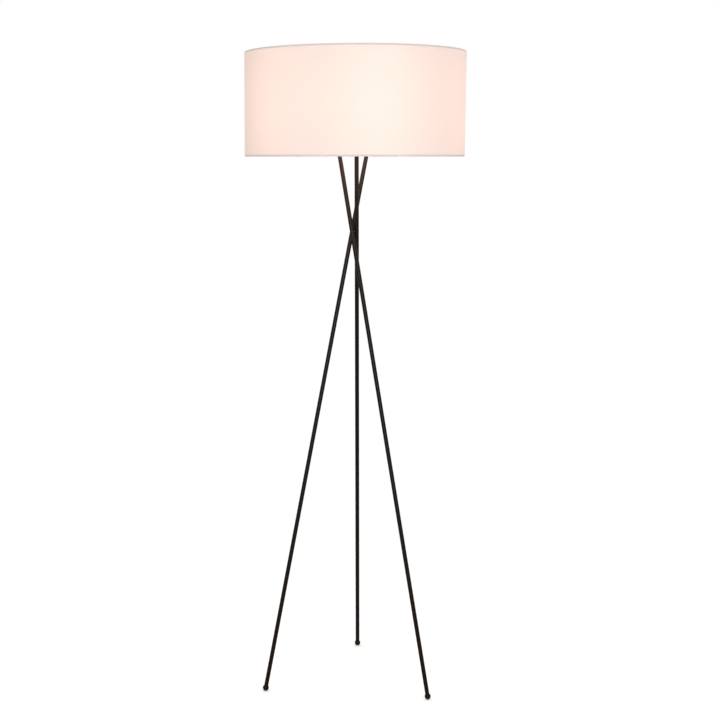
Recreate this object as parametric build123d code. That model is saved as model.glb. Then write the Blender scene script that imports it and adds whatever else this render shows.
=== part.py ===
"""Tripod floor lamp: three crossed tube legs on ball feet, a three-lamp hub and a drum shade.

Millimetres, +Z up. The origin is on the floor, on the lamp's own axis, and +Y points to the rear leg.
"""

from build123d import *
import os
from math import asin, atan2, cos, degrees, hypot, pi, radians, sin, sqrt

# Places around the lamp's axis, shared by the feet and the lampholders
AZIMUTHS = {"rear": 90.0, "front_left": 210.0, "front_right": 330.0}

# Stand
foot_circle_radius = 245.0
waist_height = 1203.0
leg_diameter = 11.0
leg_wall = 2.0
foot_ball_diameter = 16.0
foot_flat_diameter = 5.0
foot_stud_diameter = 5.0
foot_stud_depth = 6.5
leg_plug_length = 14.0

# Waist joint: a core pin between the legs, with one grub screw through each leg into it
waist_core_diameter = 5.0
waist_core_length = 32.0
waist_screw_key = 1.5
waist_screw_sink = 0.4
waist_screw_pitch = 8.0

# Cord inlet in the rear leg
inlet_height = 62.0
inlet_bore_diameter = 4.8
inlet_bush_wall = 0.6
inlet_flange_width = 1.2
inlet_flange_thickness = 1.2

# Hub
hub_rise = 8.0
hub_floor = 12.0
hub_rim_width = 12.0
hub_edge_round = 3.0
hub_cover_thickness = 2.0
leg_end_recess = 1.5
grip_screw_diameter = 4.0
grip_screw_key = 2.0
grip_screw_sink = 1.5
cover_screw_diameter = 3.0
cover_screw_length = 8.0
cover_screw_head_diameter = 5.6
cover_screw_head_height = 2.0
cover_screw_slot = 0.9

# Threaded lamp tube, used for the stem and for the nipples under the lampholders
lamp_tube_diameter = 10.0
lamp_tube_bore = 7.0
lamp_nut_flats = 14.0
lamp_nut_height = 4.0
lamp_tube_proud = 1.5
nipple_rise = 8.0

# Lampholders, upright on the hub
socket_circle_radius = 46.0
socket_cap_height = 16.0
socket_cap_wall = 0.8
socket_shell_wall = 0.6
socket_shell_lap = 4.0
socket_body_height = 22.0
socket_boss_diameter = 11.0
socket_boss_height = 3.0
bulb_thread_play = 0.5
screw_shell_wall = 0.8
screw_shell_height = 23.0
socket_lip = 1.0
socket_air_gap = 1.1
contact_diameter = 6.0
contact_length = 10.0
contact_proud = 1.0
contact_travel = 0.8

# Turn switch on each lampholder
switch_shaft_diameter = 4.0
switch_shaft_depth = 9.0
switch_knob_diameter = 11.0
switch_knob_length = 11.0
switch_knob_gap = 0.6
switch_rise = 3.0
switch_knob_flutes = 10
switch_flute_diameter = 1.6

# Lamp bulbs
bulb_length = 108.0
bulb_diameter = 60.0
bulb_neck_lip = 0.4
bulb_neck_straight = 7.0
bulb_glass_wall = 1.0
bulb_cap_diameter = 26.0
bulb_cap_wall = 0.6
bulb_cap_height = 22.0
bulb_tip_diameter = 9.0
bulb_tip_height = 5.0

# Wiring
wire_diameter = 1.4
wire_bend_radius = 2.5
wire_start_above_inlet = 18.0
terminal_length = 16.0
terminal_width = 9.0
terminal_height = 6.0
terminal_radius = 34.0
terminal_azimuth = 300.0
terminal_pitch = 4.0
terminal_port_depth = 3.0

# Shade
shade_diameter = 559.0
shade_height = 261.0
shade_bottom = 1391.5
fabric_thickness = 0.7
liner_thickness = 0.6
hem_depth = 8.0
frame_wire_diameter = 4.0
spider_drop = 24.0
spider_bend_radius = 10.0
spider_washer_diameter = 34.0
spider_washer_thickness = 3.0
spider_seat_diameter = 22.0
spider_seat_height = 6.0
finial_diameter = 20.0
finial_flange_height = 3.5
finial_neck_diameter = 13.0
finial_neck_height = 4.0
finial_thread_depth = 9.0

# Clearances: press and thread fits, pieces that slip together, and loose or turning pieces
fit = 0.05
slip = 0.2
running = 0.3

# Values worked out from the driving dimensions
leg_radius = leg_diameter / 2
leg_bore_radius = leg_radius - leg_wall
ball_radius = foot_ball_diameter / 2
ball_centre_height = sqrt(ball_radius**2 - (foot_flat_diameter / 2) ** 2)
foot_seat = sqrt(ball_radius**2 - leg_radius**2)

waist_radius = waist_core_diameter / 2 + fit + leg_radius
leg_drop = waist_height - ball_centre_height
leg_run = sqrt(foot_circle_radius**2 - waist_radius**2)
leg_slope = hypot(leg_run, leg_drop)
waist_screw_radius = leg_bore_radius - wire_diameter - 3 * slip
lean_sin = leg_run / leg_slope
lean_cos = leg_drop / leg_slope

hub_bottom = shade_bottom + hub_rise
hub_floor_top = hub_bottom + hub_floor
leg_top_height = hub_floor_top - leg_end_recess
leg_top_radius = hypot(waist_radius, (hub_floor_top - waist_height) * lean_sin / lean_cos)
lamp_nut_corner = lamp_nut_flats / 2 / cos(pi / 6)
recess_depth = lamp_nut_height + lamp_tube_proud + 2 * wire_diameter
recess_radius = max(socket_circle_radius + lamp_nut_corner, leg_top_radius + leg_radius) + 2 * running
hub_radius = recess_radius + hub_rim_width
hub_top = hub_floor_top + recess_depth
cover_top = hub_top + hub_cover_thickness

screw_shell_bore_radius = bulb_cap_diameter / 2 + bulb_thread_play
screw_shell_radius = screw_shell_bore_radius + screw_shell_wall
socket_bore_radius = screw_shell_radius + socket_air_gap
socket_shell_radius = socket_bore_radius + socket_shell_wall
socket_cap_radius = socket_shell_radius + slip + socket_cap_wall
socket_body_radius = socket_bore_radius - slip
socket_body_top = nipple_rise + socket_body_height
screw_shell_top = socket_body_top + screw_shell_height
socket_top = screw_shell_top + socket_lip
switch_height = socket_cap_height + switch_rise
contact_top = socket_body_top + socket_boss_height + contact_proud
bulb_cap_radius = bulb_cap_diameter / 2
bulb_neck_start = bulb_tip_height + bulb_cap_height

shade_top = shade_bottom + shade_height
shade_radius = shade_diameter / 2
frame_wire_radius = frame_wire_diameter / 2
hem_width = 2 * fabric_thickness + liner_thickness + frame_wire_diameter + 3 * running
hem_radius = hem_width / 2
liner_outer = shade_radius - fabric_thickness - running
frame_radius = liner_outer - liner_thickness - running - frame_wire_radius
spider_seat_top = shade_top - spider_drop
spider_washer_top = spider_seat_top + spider_washer_thickness
finial_bottom = spider_washer_top + 2 * fit

FROM_BASE = (Align.CENTER, Align.CENTER, Align.MIN)


# Plain shapes
def rod(radius, length):
    """A cylinder that stands on its own plane."""
    return Cylinder(radius, length, align=FROM_BASE)


def tube(outer, inner, length):
    return rod(outer, length) - rod(inner, length)


def hex_prism(flats, height):
    return extrude(RegularPolygon(flats / 2, 6, major_radius=False), height)


def lamp_nut():
    return hex_prism(lamp_nut_flats, lamp_nut_height) - rod(lamp_tube_diameter / 2 + fit, lamp_nut_height)


def wire_along(points, bends, radius):
    """A round wire along straight runs, with one bend radius for each inner point."""
    path = FilletPolyline(*points, radius=bends)
    return sweep(Plane(origin=path @ 0, z_dir=path % 0) * Circle(radius), path=path)


def polar(radius, azimuth, height):
    return Vector(radius * cos(radians(azimuth)), radius * sin(radians(azimuth)), height)


# Legs
def leg_frame(place):
    """The leg's own frame: its origin is at the waist and its Z runs up along the leg."""
    side = radians(AZIMUTHS[place]) - atan2(leg_run, waist_radius)
    return Plane(
        origin=(waist_radius * cos(side), waist_radius * sin(side), waist_height),
        x_dir=(cos(side), sin(side), 0),
        z_dir=(lean_sin * sin(side), -lean_sin * cos(side), lean_cos),
    )


def along_leg(height):
    """How far along the leg its axis reaches that height."""
    return (height - waist_height) / lean_cos


def leg_point(place, height):
    return leg_frame(place).from_local_coords(Vector(0, 0, along_leg(height)))


def across_leg(place, height):
    """A level frame on the lamp's axis whose Z points out through the leg, and the leg's distance."""
    centre = leg_point(place, height)
    distance = hypot(centre.X, centre.Y)
    return Plane(origin=(0, 0, height), x_dir=(0, 0, 1), z_dir=(centre.X, centre.Y, 0)), distance


leg_start = along_leg(ball_centre_height) + foot_seat
leg_end = along_leg(leg_top_height)
WAIST_SCREW_HEIGHTS = {
    place: waist_height + (number - 1) * waist_screw_pitch for number, place in enumerate(AZIMUTHS)
}


def waist_screw(place):
    """A grub screw through the leg and the core, sunk a little at both ends."""
    frame, distance = across_leg(place, WAIST_SCREW_HEIGHTS[place])
    tip = waist_screw_sink - waist_core_diameter / 2
    top = distance + leg_radius - waist_screw_sink
    screw = Pos(0, 0, tip) * rod(waist_screw_radius, top - tip)
    return frame * (screw - Pos(0, 0, top - waist_screw_key) * hex_prism(waist_screw_key, waist_screw_key))


def waist_screw_hole(place):
    frame, distance = across_leg(place, WAIST_SCREW_HEIGHTS[place])
    hole = rod(waist_screw_radius + fit, distance + leg_diameter + waist_core_diameter)
    return frame * Pos(0, 0, -waist_core_diameter) * hole


def inlet_frame():
    """The cord inlet's frame: its Z points out of the rear leg, away from the lamp."""
    leg = leg_frame("rear")
    return Plane(origin=leg_point("rear", inlet_height), x_dir=leg.z_dir, z_dir=leg.y_dir)


inlet_sleeve_radius = inlet_bore_diameter / 2 + inlet_bush_wall
inlet_face = leg_radius + inlet_flange_thickness
inlet_inner_end = leg_bore_radius - 2 * slip


def leg(place):
    body = leg_frame(place) * Pos(0, 0, leg_start) * tube(leg_radius, leg_bore_radius, leg_end - leg_start)
    body -= waist_screw_hole(place)
    if place == "rear":
        body -= inlet_frame() * rod(inlet_sleeve_radius + fit, leg_diameter)
    return body


def inlet_bush():
    flange = rod(inlet_sleeve_radius + inlet_flange_width, inlet_face)
    saddle = Rot(0, 90, 0) * Cylinder(leg_radius + fit, 2 * leg_diameter)
    sleeve = Pos(0, 0, inlet_inner_end) * rod(inlet_sleeve_radius, inlet_face - inlet_inner_end)
    rim = (flange - saddle).solids().sort_by(Axis.Z)[-1]
    return inlet_frame() * (rim + sleeve - rod(inlet_bore_diameter / 2, 2 * inlet_face))


def foot(place):
    frame = leg_frame(place)
    centre = along_leg(ball_centre_height)
    ball = frame * Pos(0, 0, centre) * Sphere(ball_radius)
    ball -= frame * Pos(0, 0, leg_start) * rod(ball_radius, ball_radius)
    ball -= frame * Pos(0, 0, leg_start - foot_stud_depth) * rod(foot_stud_diameter / 2 + fit, ball_radius)
    return split(ball, Plane.XY, Keep.TOP)


def leg_plug(place):
    plug = tube(leg_bore_radius - fit, foot_stud_diameter / 2 + fit, leg_plug_length)
    return leg_frame(place) * Pos(0, 0, leg_start) * plug


def foot_stud(place):
    start = leg_start - foot_stud_depth + fit
    stud = rod(foot_stud_diameter / 2, leg_start + leg_plug_length - start)
    return leg_frame(place) * Pos(0, 0, start) * stud


def waist_core():
    core = Pos(0, 0, waist_height) * Cylinder(waist_core_diameter / 2, waist_core_length)
    for place in AZIMUTHS:
        core -= waist_screw_hole(place)
    return core


# Hub
def grip_screw(place):
    """The screw that grips a leg's top end in the hub."""
    frame, distance = across_leg(place, hub_bottom + hub_floor / 2)
    radius = grip_screw_diameter / 2
    tip = distance + (leg_radius + radius * lean_sin) / lean_cos + fit
    top = hub_radius - grip_screw_sink
    screw = Pos(0, 0, tip) * rod(radius, top - tip)
    return frame * (screw - Pos(0, 0, top - grip_screw_key) * hex_prism(grip_screw_key, grip_screw_key))


def grip_screw_hole(place):
    frame, distance = across_leg(place, hub_bottom + hub_floor / 2)
    return frame * Pos(0, 0, distance) * rod(grip_screw_diameter / 2 + fit, hub_radius)


def cover_screw_places():
    """Between the lampholders, in the hub's rim."""
    half_step = 180 / len(AZIMUTHS)
    radius = hub_radius - hub_rim_width / 2
    return [polar(radius, azimuth + half_step, hub_top) for azimuth in AZIMUTHS.values()]


def cover_screws():
    length = cover_screw_length + hub_cover_thickness
    screw = Pos(0, 0, -cover_screw_length) * rod(cover_screw_diameter / 2, length)
    head = rod(cover_screw_head_diameter / 2, cover_screw_head_height)
    head = fillet(head.edges().group_by(Axis.Z)[-1], cover_screw_head_height / 2)
    slot = Box(cover_screw_head_diameter, cover_screw_slot, cover_screw_head_height)
    head -= Pos(0, 0, cover_screw_head_height) * slot
    screw += Pos(0, 0, hub_cover_thickness) * head
    return [Pos(place) * screw for place in cover_screw_places()]


def hub():
    body = fillet(rod(hub_radius, hub_top - hub_bottom).edges().group_by(Axis.Z)[0], hub_edge_round)
    body = Pos(0, 0, hub_bottom) * body
    body -= Pos(0, 0, hub_floor_top) * rod(recess_radius, 2 * recess_depth)
    for place in AZIMUTHS:
        bore = Pos(0, 0, leg_end - 2 * hub_floor) * rod(leg_radius + fit, 4 * hub_floor)
        body -= leg_frame(place) * bore
        body -= grip_screw_hole(place)
    screw_hole = Pos(0, 0, -cover_screw_length) * rod(cover_screw_diameter / 2 + fit, cover_screw_length)
    for place in cover_screw_places():
        body -= Pos(place) * screw_hole
    return body


def hub_cover():
    plate = rod(hub_radius, hub_cover_thickness)
    plate = fillet(plate.edges().group_by(Axis.Z)[-1], hub_cover_thickness / 2)
    plate -= rod(lamp_tube_diameter / 2 + slip, hub_cover_thickness)
    plate = Pos(0, 0, hub_top) * plate
    for azimuth in AZIMUTHS.values():
        place = polar(socket_circle_radius, azimuth, hub_top)
        plate -= Pos(place) * rod(lamp_tube_diameter / 2 + slip, hub_cover_thickness)
    for place in cover_screw_places():
        plate -= Pos(place) * rod(cover_screw_diameter / 2 + slip, hub_cover_thickness)
    return plate


# Stem and finial
stem_bottom = hub_top - lamp_nut_height - lamp_tube_proud
stem_top = finial_bottom + finial_thread_depth - slip


def stem():
    return Pos(0, 0, stem_bottom) * tube(lamp_tube_diameter / 2, lamp_tube_bore / 2, stem_top - stem_bottom)


def stem_nuts():
    return [Pos(0, 0, hub_top - lamp_nut_height) * lamp_nut(), Pos(0, 0, cover_top) * lamp_nut()]


def spider_seat():
    seat = rod(spider_seat_diameter / 2, spider_seat_height)
    seat = fillet(seat.edges().group_by(Axis.Z)[0], spider_seat_height / 4)
    seat -= rod(lamp_tube_diameter / 2 + fit, spider_seat_height)
    return Pos(0, 0, spider_seat_top - spider_seat_height) * seat


def finial():
    """A turned nut: a flange, a tapered shoulder, a neck and a round head centred on the axis."""
    wide = finial_diameter / 2
    neck = finial_neck_diameter / 2
    neck_z = finial_flange_height + wide - neck
    head_z = neck_z + finial_neck_height
    side = neck * sqrt(0.5)
    top = head_z + neck
    cone = Polyline((0, 0), (wide, 0), (wide, finial_flange_height), (neck, neck_z), (neck, head_z))
    dome = ThreePointArc((neck, head_z), (side, head_z + side), (0, top))
    axis = Line((0, top), (0, 0))
    body = revolve(make_face(Plane.XZ * (cone + dome + axis)), Axis.Z)
    return Pos(0, 0, finial_bottom) * (body - rod(lamp_tube_diameter / 2 + fit, finial_thread_depth))


# Lampholders
def socket_frame(place):
    """On the hub's cover, with X pointing out from the lamp's axis."""
    return Pos(polar(socket_circle_radius, AZIMUTHS[place], cover_top)) * Rot(0, 0, AZIMUTHS[place])


def nipple(place):
    below = hub_cover_thickness + lamp_nut_height + lamp_tube_proud
    return socket_frame(place) * Pos(0, 0, -below) * tube(
        lamp_tube_diameter / 2, lamp_tube_bore / 2, below + nipple_rise
    )


def nipple_nut(place):
    return socket_frame(place) * Pos(0, 0, -hub_cover_thickness - lamp_nut_height) * lamp_nut()


def socket_cap(place):
    outer = rod(socket_cap_radius, socket_cap_height)
    outer = fillet(outer.edges().group_by(Axis.Z)[0], 3 * socket_cap_wall)
    inner = Pos(0, 0, socket_cap_wall) * rod(socket_cap_radius - socket_cap_wall, socket_cap_height)
    inner = fillet(inner.edges().group_by(Axis.Z)[0], 2 * socket_cap_wall)
    return socket_frame(place) * (outer - inner - rod(lamp_tube_diameter / 2 + fit, socket_cap_height))


def socket_shell(place):
    start = socket_cap_height - socket_shell_lap
    shell = Pos(0, 0, start) * tube(socket_shell_radius, socket_bore_radius, socket_top - start)
    switch_hole = rod(switch_shaft_diameter / 2 + running, 2 * socket_cap_radius)
    shell -= Pos(0, 0, switch_height) * Rot(0, 90, 0) * switch_hole
    return socket_frame(place) * shell


def socket_body(place):
    body = Pos(0, 0, nipple_rise) * rod(socket_body_radius, socket_body_height)
    body += Pos(0, 0, socket_body_top) * rod(socket_boss_diameter / 2, socket_boss_height)
    contact_bore = rod(contact_diameter / 2 + slip, 2 * contact_length)
    body -= Pos(0, 0, contact_top - contact_length - contact_travel - slip) * contact_bore
    switch_bore = rod(switch_shaft_diameter / 2 + slip, 2 * socket_cap_radius)
    body -= Pos(socket_body_radius - switch_shaft_depth, 0, switch_height) * Rot(0, 90, 0) * switch_bore
    return socket_frame(place) * body


def screw_shell(place):
    shell = rod(screw_shell_radius, screw_shell_height)
    shell -= Pos(0, 0, screw_shell_wall) * rod(screw_shell_bore_radius, screw_shell_height)
    shell -= rod(socket_boss_diameter / 2 + slip, screw_shell_wall)
    return socket_frame(place) * Pos(0, 0, socket_body_top) * shell


def centre_contact(place):
    contact = rod(contact_diameter / 2, contact_length)
    contact = fillet(contact.edges().group_by(Axis.Z)[-1], contact_diameter / 10)
    return socket_frame(place) * Pos(0, 0, contact_top - contact_length) * contact


def switch_knob(place):
    start = socket_body_radius - switch_shaft_depth + slip
    face = socket_cap_radius + switch_knob_gap
    grip = rod(switch_knob_diameter / 2, switch_knob_length)
    grip = fillet(grip.edges().group_by(Axis.Z)[-1], switch_knob_diameter / 8)
    flute = rod(switch_flute_diameter / 2, switch_knob_length)
    for location in PolarLocations(switch_knob_diameter / 2, switch_knob_flutes):
        grip -= location * flute
    knob = Pos(0, 0, start) * rod(switch_shaft_diameter / 2, face - start) + Pos(0, 0, face) * grip
    return socket_frame(place) * Pos(0, 0, switch_height) * Rot(0, 90, 0) * knob


# Lamp bulbs
def bulb_frame(place):
    """At the bulb's tip, on the lampholder's centre contact."""
    return socket_frame(place) * Pos(0, 0, contact_top)


def bulb_outline(inset):
    """Half of the globe's outline: a straight neck, a hollow shoulder and a round head."""
    neck = bulb_cap_radius + bulb_neck_lip - inset
    head = bulb_diameter / 2 - inset
    centre = bulb_length - bulb_diameter / 2
    bend_z = bulb_neck_start + bulb_neck_straight
    rise = centre - bend_z
    shoulder = (neck**2 + rise**2 - head**2) / (2 * (head - neck))
    reach = hypot(neck + shoulder, rise)
    meet = (head * (neck + shoulder) / reach, centre - head * rise / reach)
    turn = asin(rise / reach) / 2
    middle = (neck + shoulder * (1 - cos(turn)), bend_z + shoulder * sin(turn))
    bulge = -asin(rise / reach) / 2 + pi / 4
    bottom = Line((0, bulb_neck_start), (neck, bulb_neck_start))
    side = Line((neck, bulb_neck_start), (neck, bend_z))
    hollow = ThreePointArc((neck, bend_z), middle, meet)
    dome = ThreePointArc(meet, (head * cos(bulge), centre + head * sin(bulge)), (0, centre + head))
    axis = Line((0, centre + head), (0, bulb_neck_start))
    return make_face(Plane.XZ * (bottom + side + hollow + dome + axis))


def bulb_globe(place):
    inside = revolve(bulb_outline(bulb_glass_wall), Axis.Z)
    return bulb_frame(place) * (revolve(bulb_outline(0), Axis.Z) - inside)


def bulb_cap(place):
    cap = tube(bulb_cap_radius, bulb_cap_radius - bulb_cap_wall, bulb_cap_height)
    return bulb_frame(place) * Pos(0, 0, bulb_tip_height) * cap


def bulb_tip(place):
    cone = Cone(bulb_tip_diameter / 2, bulb_cap_radius, bulb_tip_height, align=FROM_BASE)
    plug = Pos(0, 0, bulb_tip_height) * rod(bulb_cap_radius - bulb_cap_wall - fit, bulb_tip_height)
    return bulb_frame(place) * (cone + plug)


# Wiring inside the rear leg and the hub
wire_radius = wire_diameter / 2
wire_offset = leg_bore_radius - wire_radius - 2 * fit


def terminal_frame():
    return Pos(polar(terminal_radius, terminal_azimuth, hub_floor_top)) * Rot(0, 0, terminal_azimuth)


def terminal_port(side_x, side_y, shift, height):
    """Two points for a wire that goes straight into a side of the block: outside it and inside it."""
    points = []
    for reach in (2 * wire_bend_radius, -terminal_port_depth):
        x = side_x * (terminal_width / 2 + reach) + side_y * shift
        y = side_y * (terminal_length / 2 + reach) + side_x * shift
        points.append((terminal_frame() * Pos(x, y, height)).position)
    return points


def feed_paths():
    """Two wires up the rear leg, from above the inlet to the terminals in the hub."""
    frame = leg_frame("rear")
    start = along_leg(inlet_height) + wire_start_above_inlet
    out = leg_end + leg_end_recess + wire_bend_radius
    paths = []
    for side in (-1, 1):
        low = frame.from_local_coords(Vector(0, side * wire_offset, start))
        bend = frame.from_local_coords(Vector(0, side * wire_offset, out))
        port = terminal_port(0, -1, side * terminal_pitch / 2, bend.Z - hub_floor_top)
        paths.append([low, bend] + port)
    return paths


def lead_paths():
    """One lead from the terminals to each lampholder, along the hub's floor and up through the nipple."""
    ports = {
        "rear": terminal_port(-1, 0, -terminal_pitch / 2, wire_diameter),
        "front_left": terminal_port(-1, 0, terminal_pitch / 2, wire_diameter),
        "front_right": terminal_port(0, 1, 0, wire_diameter),
    }
    paths = []
    for place, (outside, inside) in ports.items():
        under = polar(socket_circle_radius, AZIMUTHS[place], hub_floor_top + wire_diameter)
        end = polar(socket_circle_radius, AZIMUTHS[place], cover_top + nipple_rise - slip)
        paths.append([inside, outside, under, end])
    return paths


def wires(paths):
    return [wire_along(path, wire_bend_radius, wire_radius) for path in paths]


def terminal_block():
    block = Box(terminal_width, terminal_length, terminal_height, align=FROM_BASE)
    block = terminal_frame() * chamfer(block.edges().group_by(Axis.Z)[-1], terminal_height / 8)
    ends = [path[-2:] for path in feed_paths()] + [path[1::-1] for path in lead_paths()]
    for outside, inside in ends:
        hole = Plane(origin=inside, z_dir=outside - inside) * rod(wire_radius + fit, 4 * terminal_port_depth)
        block -= hole
    return block


# Shade
def drum_fabric():
    """The cloth wall, rolled over a wire ring at each rim and tucked back inside."""
    inner = shade_radius - hem_width
    high = shade_top - hem_radius
    low = shade_bottom + hem_radius
    middle = shade_radius - hem_radius
    roll = hem_radius - fabric_thickness
    lines = [
        Line((shade_radius, low), (shade_radius, high)),
        ThreePointArc((shade_radius, high), (middle, shade_top), (inner, high)),
        Line((inner, high), (inner, high - hem_depth)),
        Line((inner, high - hem_depth), (inner + fabric_thickness, high - hem_depth)),
        Line((inner + fabric_thickness, high - hem_depth), (inner + fabric_thickness, high)),
        ThreePointArc((inner + fabric_thickness, high), (middle, high + roll), (middle + roll, high)),
        Line((middle + roll, high), (middle + roll, low)),
        ThreePointArc((middle + roll, low), (middle, low - roll), (inner + fabric_thickness, low)),
        Line((inner + fabric_thickness, low), (inner + fabric_thickness, low + hem_depth)),
        Line((inner + fabric_thickness, low + hem_depth), (inner, low + hem_depth)),
        Line((inner, low + hem_depth), (inner, low)),
        ThreePointArc((inner, low), (middle, shade_bottom), (shade_radius, low)),
    ]
    return revolve(make_face(Plane.XZ * Curve(lines)), Axis.Z)


def drum_liner():
    height = shade_height - 2 * hem_radius
    return Pos(0, 0, shade_bottom + hem_radius) * tube(liner_outer, liner_outer - liner_thickness, height)


def rim_ring(height):
    return Pos(0, 0, height) * Torus(frame_radius, frame_wire_radius)


def spider():
    """A washer on the stem with three wire arms, each turned up at its end to the top ring."""
    height = spider_seat_top + spider_washer_thickness / 2
    arm_top = shade_top - hem_radius - frame_wire_radius - fit
    body = rod(spider_washer_diameter / 2, spider_washer_thickness)
    body -= rod(lamp_tube_diameter / 2 + running, spider_washer_thickness)
    body = Pos(0, 0, spider_seat_top) * body
    start = (spider_washer_diameter + lamp_tube_diameter) / 4
    for azimuth in AZIMUTHS.values():
        points = [polar(start, azimuth, height), polar(frame_radius, azimuth, height)]
        points.append(polar(frame_radius, azimuth, arm_top))
        body += wire_along(points, spider_bend_radius, frame_wire_radius)
    return body


def build():
    """Every piece by its name. A list is a group of alike pieces."""
    pieces = {f"leg_{place}": leg(place) for place in AZIMUTHS}
    for make in (foot, socket_cap, socket_shell, socket_body, screw_shell, centre_contact, switch_knob):
        pieces.update({f"{make.__name__}_{place}": make(place) for place in AZIMUTHS})
    for make in (bulb_globe, bulb_cap, bulb_tip):
        pieces.update({f"{make.__name__}_{place}": make(place) for place in AZIMUTHS})
    pieces["leg_plugs"] = [leg_plug(place) for place in AZIMUTHS]
    pieces["foot_studs"] = [foot_stud(place) for place in AZIMUTHS]
    pieces["waist_core"] = waist_core()
    pieces["waist_screws"] = [waist_screw(place) for place in AZIMUTHS]
    pieces["cord_inlet_bush"] = inlet_bush()
    pieces["hub"] = hub()
    pieces["hub_cover"] = hub_cover()
    pieces["leg_grip_screws"] = [grip_screw(place) for place in AZIMUTHS]
    pieces["hub_cover_screws"] = cover_screws()
    pieces["stem"] = stem()
    pieces["stem_nuts"] = stem_nuts()
    pieces["spider_seat"] = spider_seat()
    pieces["finial"] = finial()
    pieces["socket_nipples"] = [nipple(place) for place in AZIMUTHS]
    pieces["nipple_nuts"] = [nipple_nut(place) for place in AZIMUTHS]
    pieces["terminal_block"] = terminal_block()
    pieces["feed_wires"] = wires(feed_paths())
    pieces["socket_leads"] = wires(lead_paths())
    pieces["shade_fabric"] = drum_fabric()
    pieces["shade_liner"] = drum_liner()
    pieces["shade_top_ring"] = rim_ring(shade_top - hem_radius)
    pieces["shade_bottom_ring"] = rim_ring(shade_bottom + hem_radius)
    pieces["shade_spider"] = spider()
    return pieces


def main():
    os.makedirs("parts", exist_ok=True)
    for name, shape in build().items():
        solids = shape if isinstance(shape, list) else [shape]
        export_step(Compound([solid for piece in solids for solid in piece.solids()]), f"parts/{name}.step")
    print("legs lean", round(degrees(asin(lean_sin)), 2), "degrees")


main()
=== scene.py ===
"""Tripod floor lamp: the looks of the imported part, with its stage, lights and camera.

Metres, in the part's own frame: +Z up, the floor at z = 0, the lamp's axis at x = y = 0,
the rear leg towards +Y.
"""

from math import cos, pi, radians, sin

import bpy
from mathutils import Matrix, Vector


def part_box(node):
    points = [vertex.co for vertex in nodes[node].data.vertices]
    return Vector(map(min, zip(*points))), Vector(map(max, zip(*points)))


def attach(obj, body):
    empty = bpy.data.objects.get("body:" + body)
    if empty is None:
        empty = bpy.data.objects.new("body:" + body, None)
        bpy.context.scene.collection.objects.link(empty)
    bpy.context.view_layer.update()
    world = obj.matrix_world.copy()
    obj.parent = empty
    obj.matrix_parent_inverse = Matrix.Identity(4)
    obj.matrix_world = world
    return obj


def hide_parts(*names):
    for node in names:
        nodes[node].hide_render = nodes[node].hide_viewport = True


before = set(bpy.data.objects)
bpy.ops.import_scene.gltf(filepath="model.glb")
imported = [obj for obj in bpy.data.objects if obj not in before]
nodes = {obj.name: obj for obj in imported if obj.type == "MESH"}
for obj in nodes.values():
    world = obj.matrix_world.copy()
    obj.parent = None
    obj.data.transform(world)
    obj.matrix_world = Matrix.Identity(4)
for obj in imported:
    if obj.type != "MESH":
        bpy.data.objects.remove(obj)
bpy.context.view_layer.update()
PLACES = ("rear", "front_left", "front_right")

# Camera, fitted to the photograph's rods and shade
EYE = (0.2915, -3.4704, 1.3850)
HEADING = radians(7.834)
DOWNWARD = radians(8.475)
LENS_MM = 67.36
SENSOR_MM = 36.0
FRAME_SHIFT = 0.1083

# Shade
CLOTH_THICKNESS = 0.0007
LINER_THICKNESS = 0.0006
HEM_WIDTH = 0.0069
HEM_TUCK = 0.008
LAP_WIDTH = 0.012
LAP_SLOPE = 0.003
LAP_EDGE = 0.00015
SEAM_AZIMUTH = pi / 2
SHADE_COLUMNS = 240
HEM_STEPS = 10
WALL_ROWS = 16
WEAVE_PITCH = 0.0006
SLUB_SIZE = 0.0011
SLUB_STRETCH = 0.03

# Painted glow of the bulbs' light through the shade: unlit rims, a dimmer seam, brighter and dimmer
# stretches round it, and dimmer towards the rims
UNLIT_RIM = 0.0055
RIM_FADE = 0.002
SEAM_LIGHT = 0.72
BRIGHT_STRETCHES = 6
BRIGHT_AZIMUTH = radians(288)
STRETCH_CHANGE = 0.12
FALL_TO_RIMS = 0.2

# Bulbs: cap wall and plain skirt, solder pad, and the share of a globe's height where its glow is full
CAP_WALL = 0.0003
CAP_SKIRT = 0.004
SOLDER_PAD_HEIGHT = 0.0006
GLOBE_FULL_LIGHT = 0.6

# Screw thread of the bulbs, right-handed
THREAD_PITCH = 0.0254 / 7
THREAD_DEPTH = 0.0006
THREAD_RUNOUT = 0.002
THREAD_COLUMNS = 64
THREAD_ROWS_PER_PITCH = 10

# Lights and floor; shares are of the shade's and a globe's radius, and the top light is per square metre
KEY_PLACE = (0.72, -4.15, 1.55)
KEY_AIM = (0.0, 0.0, 1.2)
KEY_WATTS = 36.6
CARD_PLACE = (0.36, -4.2, 1.4)
CARD_AIM = (0.0, 0.0, 1.4)
CARD_WATTS = 130.0
TOP_PLACE = (0.0, 0.0, 5.0)
TOP_STRENGTH = 1.0
MOUTH_WATTS = 5.0
MOUTH_SHARE = 0.9
BULB_WATTS = 0.7
BULB_LIGHT_SHARE = 0.8
WARM = (1.0, 0.84, 0.66)
AMBER = (1.0, 0.68, 0.55)
FOOT_OF_LAMP = (0.0, 0.0, 0.0)
FLOOR_GAP = 0.0005


# Meshes
def add_piece(name, points, faces, body, material, uvs=None):
    """A mesh object that rides on a body. `uvs` holds one pair for each corner of each face."""
    mesh = bpy.data.meshes.new(name)
    mesh.from_pydata(points, [], faces)
    if uvs:
        layer = mesh.uv_layers.new(name="metres")
        for corner, pair in zip(layer.data, uvs):
            corner.uv = pair
    mesh.shade_smooth()
    mesh.materials.append(material)
    piece = bpy.data.objects.new(name, mesh)
    bpy.context.scene.collection.objects.link(piece)
    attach(piece, body)
    return piece


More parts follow.
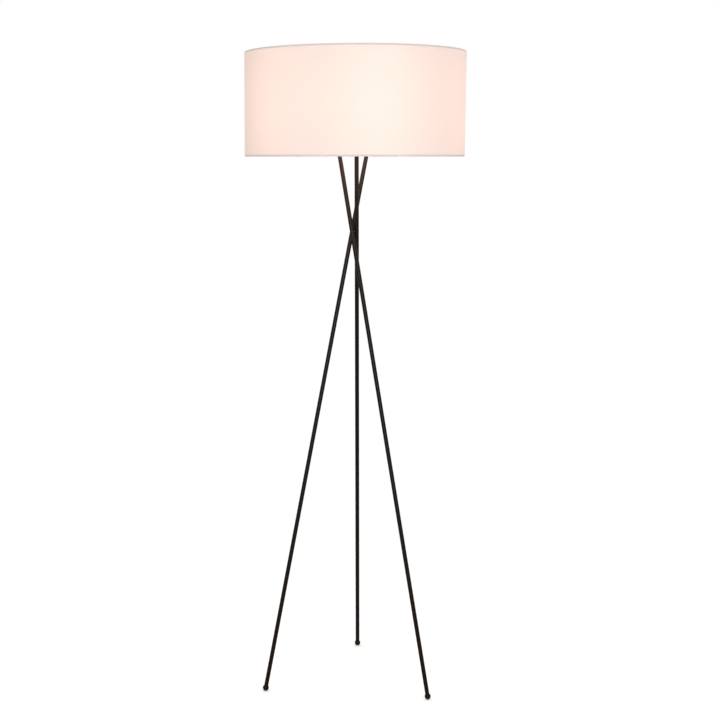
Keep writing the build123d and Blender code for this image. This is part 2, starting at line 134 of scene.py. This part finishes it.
def turned(angles, outline, centre=(0.0, 0.0), start=0.0):
    """Points, faces and UVs of a closed ring of revolution.

    outline(angle) gives the cross-section there as (radius, height, along) points, in order round it.
    The UVs hold metres: round the axis from the start azimuth, and along the section.
    """
    sections = [outline(angle) for angle in angles]
    rows = len(sections[0])
    reach = max(radius for radius, height, along in sections[0])
    points = []
    for angle, section in zip(angles, sections):
        across, up = cos(start + angle), sin(start + angle)
        points += [(centre[0] + r * across, centre[1] + r * up, z) for r, z, along in section]
    faces, uvs = [], []
    for column, angle in enumerate(angles):
        after = (column + 1) % len(angles)
        next_angle = angles[after] if after else 2 * pi
        for row in range(rows):
            above = (row + 1) % rows
            here, there = column * rows, after * rows
            faces.append((here + row, there + row, there + above, here + above))
            low, high = sections[column][row][2], sections[column][above][2]
            left, right = angle * reach, next_angle * reach
            uvs += [(left, low), (right, low), (right, high), (left, high)]
    return points, faces, uvs


def even_angles(count):
    return [2 * pi * step / count for step in range(count)]


def smooth_step(value):
    value = min(max(value, 0.0), 1.0)
    return value * value * (3 - 2 * value)


# Shade
shade_low, shade_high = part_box("shade_fabric")
shade_radius = shade_high.x
hem_radius = HEM_WIDTH / 2
hem_arc = hem_radius * pi / 2
wall_low = shade_low.z + hem_radius
wall_high = shade_high.z - hem_radius
cloth_height = wall_high - wall_low + 2 * hem_arc


def lap_height(angle, thickness):
    """How far the sheet's upper layer stands over the lower one at the glued seam."""
    past_edge = angle * shade_radius
    return thickness * smooth_step((LAP_WIDTH - past_edge) / LAP_SLOPE)


def seam_angles():
    """Even columns round the shade, with close ones at the seam's edge and slope."""
    edges = [0.0, LAP_WIDTH - LAP_SLOPE, LAP_WIDTH - LAP_SLOPE / 2, LAP_WIDTH]
    near = [edge / shade_radius for edge in edges]
    even = [angle for angle in even_angles(SHADE_COLUMNS) if angle > near[-1]]
    return near + even + [2 * pi - LAP_EDGE / shade_radius]


def cloth_path():
    """The sheet's middle line from tuck to tuck, as (radius, height, normal's angle, along) points.

    `along` is measured up the cloth from the lowest point of the bottom hem.
    """
    inner = shade_radius - HEM_WIDTH + CLOTH_THICKNESS / 2
    roll = hem_radius - CLOTH_THICKNESS / 2
    middle = shade_radius - hem_radius
    path = [(inner, wall_low + HEM_TUCK, pi, -hem_arc - HEM_TUCK)]
    for step in range(2 * HEM_STEPS + 1):
        turn = pi + pi * step / (2 * HEM_STEPS)
        along = hem_radius * (turn - 1.5 * pi)
        path.append((middle + roll * cos(turn), wall_low + roll * sin(turn), turn, along))
    for row in range(1, WALL_ROWS):
        rise = (wall_high - wall_low) * row / WALL_ROWS
        path.append((middle + roll, wall_low + rise, 0.0, hem_arc + rise))
    for step in range(2 * HEM_STEPS + 1):
        turn = pi * step / (2 * HEM_STEPS)
        along = cloth_height - hem_arc + hem_radius * turn
        path.append((middle + roll * cos(turn), wall_high + roll * sin(turn), turn, along))
    path.append((inner, wall_high - HEM_TUCK, pi, cloth_height + hem_arc + HEM_TUCK))
    return path


def cloth_outline(angle):
    """Both skins of the cloth. The outer one rises at the seam, where two layers lie on each other."""
    half = CLOTH_THICKNESS / 2
    outer = half + lap_height(angle, CLOTH_THICKNESS)
    path = cloth_path()
    skin = [(r + outer * cos(turn), z + outer * sin(turn), along) for r, z, turn, along in path]
    back = [(r - half * cos(turn), z - half * sin(turn), along) for r, z, turn, along in reversed(path)]
    return skin + back


def liner_outline(angle):
    """The stiff backing sheet behind the cloth, with its own lap on the inside."""
    low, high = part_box("shade_liner")
    inner = high.x - LINER_THICKNESS - lap_height(angle, LINER_THICKNESS)
    return [
        (high.x, low.z, 0.0), (high.x, high.z, high.z - low.z),
        (inner, high.z, high.z - low.z), (inner, low.z, 0.0),
    ]


def shade_cloth(material):
    points, faces, uvs = turned(seam_angles(), cloth_outline, start=SEAM_AZIMUTH)
    cloth = add_piece("shade_cloth", points, faces, "shade", material, uvs)
    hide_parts("shade_fabric")


def shade_backing(material):
    points, faces, uvs = turned(seam_angles(), liner_outline, start=SEAM_AZIMUTH)
    backing = add_piece("shade_backing", points, faces, "shade", material, uvs)
    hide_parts("shade_liner")


# Threaded caps of the bulbs
def ring_middle(node):
    low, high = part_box(node)
    return (low.x + high.x) / 2, (low.y + high.y) / 2


def thread_wave(angle, height):
    """From 0 at a thread's root to 1 at its crest."""
    return 0.5 + 0.5 * cos(2 * pi * height / THREAD_PITCH - angle)


def threaded_tube(node, wall, skirt):
    """A thin tube with a rolled thread below a plain skirt, in the room of a CAD node."""
    low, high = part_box(node)
    radius = (high.x - low.x) / 2
    length = high.z - low.z
    rows = int(length / THREAD_PITCH * THREAD_ROWS_PER_PITCH)
    rises = [length * row / rows for row in range(rows + 1)]

    def outline(angle):
        outside = []
        for rise in rises:
            start = smooth_step(rise / THREAD_RUNOUT)
            end = smooth_step((length - skirt - rise) / THREAD_RUNOUT)
            depth = THREAD_DEPTH * start * end * (1 - thread_wave(angle, rise))
            outside.append((radius - depth, low.z + rise, rise))
        inside = [(r - wall, z, along) for r, z, along in reversed(outside)]
        return outside + inside

    return turned(even_angles(THREAD_COLUMNS), outline, ring_middle(node))


def bulb_caps(material):
    for place in PLACES:
        points, faces, uvs = threaded_tube(f"bulb_cap_{place}", CAP_WALL, CAP_SKIRT)
        name, body = f"threaded_cap_{place}", f"bulb_{place}"
        cap = add_piece(name, points, faces, body, material, uvs)
        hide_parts(f"bulb_cap_{place}")


# Materials
class Finish:
    """One material's nodes, with short ways to add, join and vary them."""

    def __init__(self, name, roughness=0.5, metallic=0.0):
        self.material = bpy.data.materials.new(name)
        self.material.use_nodes = True
        self.tree = self.material.node_tree
        self.shader = self.tree.nodes["Principled BSDF"]
        self.place = self.add("TexCoord").outputs["Object"]
        self.set("Roughness", roughness)
        self.set("Metallic", metallic)

    def feed(self, socket, value):
        """Joins a socket to another node's output, or sets its own value."""
        if isinstance(value, bpy.types.NodeSocket):
            self.tree.links.new(value, socket)
        else:
            socket.default_value = value

    def set(self, name, value):
        self.feed(self.shader.inputs[name], value)

    def add(self, kind, inputs=None, **settings):
        node = self.tree.nodes.new("ShaderNode" + kind)
        for name, value in settings.items():
            setattr(node, name, value)
        for name, value in (inputs or {}).items():
            self.feed(node.inputs[name], value)
        return node

    def math(self, operation, *values):
        node = self.add("Math", operation=operation)
        for socket, value in zip(node.inputs, values):
            self.feed(socket, value)
        return node.outputs["Value"]

    def stretched(self, x=1.0, y=1.0, z=1.0, place=None):
        """The place with each axis scaled: a pattern gets longer along the axes with small values."""
        mapping = self.add("Mapping", {"Vector": place or self.place, "Scale": (x, y, z)})
        return mapping.outputs["Vector"]

    def noise(self, size, detail=2.0, place=None):
        """Noise from about 0.2 to 0.8 with lumps of that size."""
        inputs = {"Vector": place or self.place, "Scale": 1 / size, "Detail": detail}
        return self.add("TexNoise", inputs).outputs["Fac"]

    def spread(self, factor, low, high, start=0.25, end=0.75):
        """Turns the factor's range from start to end into values from low to high."""
        inputs = {"Value": factor, "From Min": start, "From Max": end, "To Min": low, "To Max": high}
        return self.add("MapRange", inputs, interpolation_type="SMOOTHSTEP").outputs["Result"]

    def colours(self, factor, low, high, start=0.25, end=0.75):
        """A colour between low and high."""
        ramp = self.add("ValToRGB", {"Fac": factor})
        first, last = ramp.color_ramp.elements
        first.position, last.position = start, end
        first.color, last.color = (*low, 1.0), (*high, 1.0)
        return ramp.outputs["Color"]

    def relief(self, height, depth):
        """Raises the surface by a height from 0 to 1 times a depth in metres."""
        self.set("Normal", self.add("Bump", {"Height": height, "Distance": depth}).outputs["Normal"])


def bronze_paint():
    """Very dark bronze powder coat: satin, with a fine orange peel."""
    paint = Finish("bronze_paint")
    tint = paint.colours(paint.noise(0.03, 4.0), (0.0078, 0.0060, 0.0050), (0.0118, 0.0092, 0.0078))
    paint.set("Base Color", tint)
    paint.set("Roughness", paint.spread(paint.noise(0.004), 0.26, 0.32))
    paint.set("Specular IOR Level", 0.05)
    paint.set("Specular Tint", (1.0, 0.90, 0.84, 1.0))
    paint.relief(paint.noise(0.0009, 1.0), 0.000012)
    return paint.material


def hub_casting():
    """A dark coat over a die casting, lighter and coarser than on the legs."""
    paint = Finish("hub_casting")
    tint = paint.colours(paint.noise(0.02, 4.0), (0.032, 0.028, 0.026), (0.048, 0.042, 0.039))
    paint.set("Base Color", tint)
    paint.set("Roughness", paint.spread(paint.noise(0.003), 0.45, 0.58))
    paint.set("Specular IOR Level", 0.35)
    paint.relief(paint.noise(0.0016, 3.0), 0.00008)
    return paint.material


def bronze_trim():
    """Dark bronze turned parts, with faint lathe lines."""
    trim = Finish("bronze_trim")
    lines = trim.noise(0.0004, 1.0, trim.stretched(0.02, 0.02, 1.0))
    trim.set("Base Color", trim.colours(lines, (0.052, 0.043, 0.038), (0.070, 0.058, 0.050)))
    trim.set("Roughness", trim.spread(lines, 0.30, 0.40))
    trim.set("Specular IOR Level", 0.5)
    trim.relief(lines, 0.00002)
    return trim.material


def zinc_steel():
    """Zinc plating, with a faint change of tint."""
    zinc = Finish("zinc_steel", metallic=1.0)
    zinc.set("Base Color", zinc.colours(zinc.noise(0.004, 3.0), (0.55, 0.57, 0.61), (0.68, 0.67, 0.63)))
    zinc.set("Roughness", zinc.spread(zinc.noise(0.001), 0.28, 0.42))
    zinc.relief(zinc.noise(0.0005), 0.00002)
    return zinc.material


def frame_wire():
    """White dipped wire, with the slow runs of a thick coat."""
    coat = Finish("frame_wire")
    coat.set("Base Color", coat.colours(coat.noise(0.02, 3.0), (0.80, 0.79, 0.765), (0.87, 0.86, 0.84)))
    coat.set("Roughness", coat.spread(coat.noise(0.006), 0.28, 0.40))
    coat.relief(coat.noise(0.003, 1.0), 0.00015)
    return coat.material


def brushed(name, dull, bright, rough):
    """A metal with fine lines round an upright axis."""
    metal = Finish(name, metallic=1.0)
    lines = metal.noise(0.0003, 2.0, metal.stretched(0.03, 0.03, 1.0))
    metal.set("Base Color", metal.colours(lines, dull, bright))
    metal.set("Roughness", metal.spread(lines, rough, rough + 0.12))
    metal.relief(lines, 0.00001)
    return metal.material


def moulded_black():
    """Black moulded plastic with a fine spark-eroded grain."""
    plastic = Finish("moulded_black")
    tint = plastic.colours(plastic.noise(0.01), (0.024, 0.024, 0.025), (0.034, 0.033, 0.032))
    plastic.set("Base Color", tint)
    plastic.set("Roughness", plastic.spread(plastic.noise(0.002), 0.36, 0.48))
    plastic.relief(plastic.noise(0.0004, 3.0), 0.00004)
    return plastic.material


def tip_insulator():
    """A black glass cone with a dull solder pad on its lowest face."""
    tip = Finish("tip_insulator")
    pad_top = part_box("bulb_tip_rear")[0].z + SOLDER_PAD_HEIGHT
    height = tip.add("SeparateXYZ", {"Vector": tip.place}).outputs["Z"]
    glass = tip.math("GREATER_THAN", height, pad_top)
    lumps = tip.noise(0.002)
    tip.set("Base Color", tip.colours(glass, (0.52, 0.51, 0.49), (0.030, 0.030, 0.034), 0.0, 1.0))
    tip.set("Metallic", tip.math("SUBTRACT", 1.0, glass))
    tip.set("Roughness", tip.spread(lumps, 0.16, 0.34))
    tip.relief(lumps, 0.00006)
    return tip.material


def opal_glass():
    """Opal glass, lit warm white, a little dimmer and yellower towards the neck."""
    glass = Finish("opal_glass", roughness=0.14)
    low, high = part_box("bulb_globe_rear")
    height = glass.add("SeparateXYZ", {"Vector": glass.place}).outputs["Z"]
    lit = glass.spread(height, 0.0, 1.0, low.z, low.z + GLOBE_FULL_LIGHT * (high.z - low.z))
    cloud = glass.spread(glass.noise(0.012, 3.0), 0.80, 0.84)
    glass.set("Base Color", glass.colours(lit, (0.10, 0.095, 0.088), (0.11, 0.106, 0.10), 0.0, 1.0))
    glass.set("Emission Color", glass.colours(lit, (0.86, 0.69, 0.47), (1.0, 0.84, 0.62), 0.0, 1.0))
    glass.set("Emission Strength", cloud)
    return glass.material


def wire_sleeve():
    """Smooth pale insulation."""
    sleeve = Finish("wire_sleeve")
    sleeve.set("Base Color", sleeve.colours(sleeve.noise(0.02), (0.78, 0.77, 0.73), (0.86, 0.85, 0.82)))
    sleeve.set("Roughness", sleeve.spread(sleeve.noise(0.004), 0.34, 0.44))
    return sleeve.material


def weave(cloth, around, along):
    """The height of a fine plain weave with uneven threads, and how thick the threads are."""
    warp = cloth.math("SINE", cloth.math("MULTIPLY", around, 2 * pi / WEAVE_PITCH))
    weft = cloth.math("SINE", cloth.math("MULTIPLY", along, 2 * pi / WEAVE_PITCH))
    threads = cloth.math("MULTIPLY_ADD", cloth.math("MULTIPLY", warp, weft), 0.5, 0.5)
    place = cloth.add("CombineXYZ", {"X": around, "Y": along}).outputs["Vector"]
    across = cloth.noise(SLUB_SIZE, 2.0, cloth.stretched(SLUB_STRETCH, 1.0, 1.0, place))
    upright = cloth.noise(SLUB_SIZE, 2.0, cloth.stretched(1.0, SLUB_STRETCH, 1.0, place))
    slubs = cloth.math("MULTIPLY", cloth.math("ADD", across, upright), 0.5)
    return cloth.math("ADD", cloth.math("MULTIPLY", threads, 0.6), slubs), slubs


def shade_cloth_finish():
    """Off-white cloth, with the bulbs' light through it painted on as a glow, less at the seam and not at
    the hems.
    """
    cloth = Finish("shade_cloth", roughness=0.9)
    metres = cloth.add("SeparateXYZ", {"Vector": cloth.add("UVMap", uv_map="metres").outputs["UV"]})
    around, along = metres.outputs["X"], metres.outputs["Y"]
    height, slubs = weave(cloth, around, along)
    tint = cloth.colours(slubs, (0.895, 0.800, 0.770), (0.955, 0.860, 0.830), 0.35, 0.65)
    cloth.set("Base Color", tint)
    cloth.set("Sheen Weight", 0.15)
    cloth.set("Sheen Roughness", 0.5)
    cloth.set("Specular IOR Level", 0.2)
    cloth.relief(height, 0.00012)

    # Painted glow of the bulbs' light: none at the hems, less at the seam, brighter and dimmer stretches
    # round the shade, dimmer towards the rims
    top_rim = cloth_height - UNLIT_RIM
    above = cloth.spread(along, 0.0, 1.0, UNLIT_RIM, UNLIT_RIM + RIM_FADE)
    below = cloth.spread(along, 1.0, 0.0, top_rim - RIM_FADE, top_rim)
    beside = cloth.spread(around, SEAM_LIGHT, 1.0, LAP_WIDTH - LAP_SLOPE, LAP_WIDTH)
    open_cloth = cloth.math("MULTIPLY", cloth.math("MULTIPLY", above, below), beside)

    phase = BRIGHT_STRETCHES * (SEAM_AZIMUTH - BRIGHT_AZIMUTH)
    turn = cloth.math("MULTIPLY_ADD", around, BRIGHT_STRETCHES / shade_radius, phase)
    stretch = cloth.math("MULTIPLY_ADD", cloth.math("COSINE", turn), STRETCH_CHANGE, 1.0)
    off_middle = cloth.math("MULTIPLY_ADD", along, 2 / cloth_height, -1.0)
    squared = cloth.math("MULTIPLY", off_middle, off_middle)
    dome = cloth.math("MULTIPLY_ADD", squared, -FALL_TO_RIMS, 1.0)
    thin = cloth.spread(slubs, 1.02, 0.98, 0.35, 0.65)
    glow = cloth.math("MULTIPLY", cloth.math("MULTIPLY", stretch, dome), thin)
    cloth.set("Emission Color", (0.390, 0.228, 0.158, 1.0))
    cloth.set("Emission Strength", cloth.math("MULTIPLY", open_cloth, glow))
    return cloth.material


def shade_backing_finish():
    """The smooth white sheet that stiffens the cloth, seen only from inside."""
    sheet = Finish("shade_backing")
    sheet.set("Base Color", sheet.colours(sheet.noise(0.06, 3.0), (0.88, 0.86, 0.82), (0.92, 0.905, 0.87)))
    sheet.set("Roughness", sheet.spread(sheet.noise(0.01), 0.42, 0.55))
    sheet.relief(sheet.noise(0.004, 2.0), 0.00004)
    return sheet.material


def at_places(*names):
    return [f"{name}_{place}" for name in names for place in PLACES]


def dress(material, names):
    for name in names:
        nodes[name].data.materials.clear()
        nodes[name].data.materials.append(material)


# Stage, lights and camera
def seen_directly(tree):
    """1 for rays from the camera, mirrors and glass, which see white, and 0 for rays that light things."""
    light_path = tree.nodes.new("ShaderNodeLightPath")
    seen = light_path.outputs["Is Camera Ray"]
    for name in ("Is Glossy Ray", "Is Transmission Ray"):
        either = tree.nodes.new("ShaderNodeMath")
        either.operation = "MAXIMUM"
        tree.links.new(seen, either.inputs[0])
        tree.links.new(light_path.outputs[name], either.inputs[1])
        seen = either.outputs["Value"]
    return seen


def white_world(ambient):
    world = bpy.data.worlds.new("studio")
    bpy.context.scene.world = world
    world.use_nodes = True
    tree = world.node_tree
    background = tree.nodes["Background"]
    background.inputs["Color"].default_value = (1.0, 1.0, 1.0, 1.0)
    strength = tree.nodes.new("ShaderNodeMapRange")
    strength.inputs["To Min"].default_value = ambient
    strength.inputs["To Max"].default_value = 1.0
    tree.links.new(seen_directly(tree), strength.inputs["Value"])
    tree.links.new(strength.outputs["Result"], background.inputs["Strength"])


def pale_floor(half_side, near, far, reach):
    """A white floor that keeps shadows. Its glow makes up for the lights' fall with distance.

    Seen from below it isn't there.
    """
    corners = [(-1, -1), (1, -1), (1, 1), (-1, 1)]
    mesh = bpy.data.meshes.new("floor")
    points = [(x * half_side, y * half_side, -FLOOR_GAP) for x, y in corners]
    mesh.from_pydata(points, [], [(0, 1, 2, 3)])
    floor = bpy.data.objects.new("floor", mesh)
    bpy.context.scene.collection.objects.link(floor)
    paper = Finish("pale_floor", roughness=0.9)
    paper.set("Base Color", (0.9, 0.9, 0.9, 1.0))
    paper.set("Specular IOR Level", 0.0)
    paper.set("Emission Color", (1.0, 1.0, 1.0, 1.0))
    away = paper.add("VectorMath", {0: paper.place}, operation="LENGTH").outputs["Value"]
    glow = paper.spread(away, near, far, 0.0, reach)
    paper.set("Emission Strength", paper.math("MULTIPLY", seen_directly(paper.tree), glow))
    behind = paper.add("NewGeometry").outputs["Backfacing"]
    clear = paper.add("BsdfTransparent").outputs["BSDF"]
    both = paper.add("MixShader", {0: behind, 1: paper.shader.outputs["BSDF"], 2: clear})
    surface = paper.tree.nodes["Material Output"].inputs["Surface"]
    paper.tree.links.new(both.outputs["Shader"], surface)
    mesh.materials.append(paper.material)


def add_light(name, kind, place, aim, energy, colour=(1.0, 1.0, 1.0), **settings):
    light = bpy.data.lights.new(name, kind)
    light.energy = energy
    light.color = colour
    for setting, value in settings.items():
        setattr(light, setting, value)
    lamp = bpy.data.objects.new(name, light)
    lamp.location = place
    lamp.rotation_euler = (Vector(aim) - Vector(place)).to_track_quat("-Z", "Y").to_euler()
    lamp.visible_camera = False
    bpy.context.scene.collection.objects.link(lamp)
    return lamp


def soft_box(name, place, aim, watts, wide, high):
    return add_light(name, "AREA", place, aim, watts, shape="RECTANGLE", size=wide, size_y=high)


def studio_lights():
    """A key light, a soft top light, and a card that only shows as a highlight on glossy things."""
    soft_box("key", KEY_PLACE, KEY_AIM, KEY_WATTS, wide=0.8, high=1.4)
    add_light("top", "SUN", TOP_PLACE, FOOT_OF_LAMP, TOP_STRENGTH, angle=radians(80))
    card = soft_box("card", CARD_PLACE, CARD_AIM, CARD_WATTS, wide=2.6, high=1.8)
    card.visible_diffuse = False


def bulb_lights():
    """The light of each bulb inside the shade, and what leaves the shade downwards."""
    mouth = (0.0, 0.0, shade_low.z + HEM_WIDTH)
    across = 2 * MOUTH_SHARE * shade_radius
    add_light("mouth_light", "AREA", mouth, FOOT_OF_LAMP, MOUTH_WATTS, AMBER, shape="DISK", size=across)
    for place in PLACES:
        globe = nodes[f"bulb_globe_{place}"]
        globe.visible_shadow = False
        low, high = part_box(globe.name)
        radius = (high.x - low.x) / 2
        heart = (*ring_middle(globe.name), high.z - radius)
        name, glow_radius = f"bulb_light_{place}", BULB_LIGHT_SHARE * radius
        add_light(name, "POINT", heart, FOOT_OF_LAMP, BULB_WATTS, WARM, shadow_soft_size=glow_radius)


def add_camera():
    camera = bpy.data.cameras.new("camera")
    camera.lens = LENS_MM
    camera.sensor_width = SENSOR_MM
    camera.shift_x = FRAME_SHIFT
    eye = bpy.data.objects.new("camera", camera)
    eye.location = EYE
    eye.rotation_euler = (pi / 2 - DOWNWARD, 0.0, HEADING)
    bpy.context.scene.collection.objects.link(eye)
    bpy.context.scene.camera = eye


# The whole scene
bright_thread = brushed("thread_metal", (0.70, 0.70, 0.69), (0.82, 0.82, 0.81), 0.20)
socket_metal = brushed("socket_metal", (0.62, 0.49, 0.26), (0.76, 0.62, 0.36), 0.26)
contact_brass = brushed("contact_brass", (0.68, 0.53, 0.26), (0.82, 0.66, 0.35), 0.30)
dress(bronze_paint(), at_places("leg", "foot") + ["waist_core", "waist_screws"])
dress(hub_casting(), ["hub", "hub_cover"])
dress(bronze_trim(), ["stem", "spider_seat", "finial"])
dress(zinc_steel(), [
    "leg_plugs", "foot_studs", "leg_grip_screws", "hub_cover_screws", "stem_nuts",
    "socket_nipples", "nipple_nuts",
])
dress(frame_wire(), ["shade_top_ring", "shade_bottom_ring", "shade_spider"])
dress(socket_metal, at_places("socket_cap", "socket_shell"))
dress(moulded_black(), at_places("socket_body", "switch_knob") + ["cord_inlet_bush", "terminal_block"])
dress(bright_thread, at_places("screw_shell", "bulb_cap"))
dress(contact_brass, at_places("centre_contact"))
dress(tip_insulator(), at_places("bulb_tip"))
dress(opal_glass(), at_places("bulb_globe"))
dress(wire_sleeve(), ["feed_wires", "socket_leads"])
shade_cloth(shade_cloth_finish())
shade_backing(shade_backing_finish())
bulb_caps(bright_thread)

white_world(ambient=0.35)
pale_floor(half_side=30.0, near=0.285, far=0.41, reach=3.0)
studio_lights()
bulb_lights()
add_camera()
bpy.context.scene.view_settings.view_transform = "Standard"
